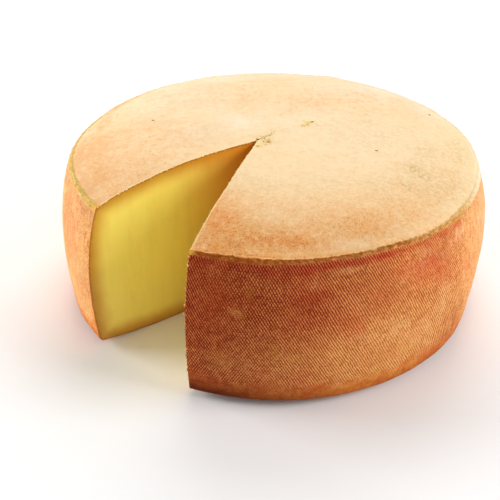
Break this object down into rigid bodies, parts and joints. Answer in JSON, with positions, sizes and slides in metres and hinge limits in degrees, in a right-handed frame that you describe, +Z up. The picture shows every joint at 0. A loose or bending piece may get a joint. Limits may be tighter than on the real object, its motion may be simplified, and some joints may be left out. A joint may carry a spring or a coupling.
{
  "type": "semi-hard cheese",
  "caption": "Round wheel of semi-hard cheese with a cloth-marked washed rind, domed top and a wedge-shaped notch cut out to its middle.",
  "frame": {"origin": "middle of the flat zone of the underside, on the wheel's axis, at the height of the surface it rests on", "axes": "+Z up along the wheel's axis; the notch opens towards -X and -Y, at azimuths of about 216 to 251 degrees; -Y is the front"},
  "size_m": [0.2988, 0.3007, 0.1198],
  "materials": {
    "rind": "dry washed rind, tan on top and red-brown on the cloth-marked side",
    "paste": "smooth cut paste, pale yellow, slightly oily"
  },
  "bodies": {
    "root": {"cheese_wheel": "rind"}
  },
  "joints": []
}
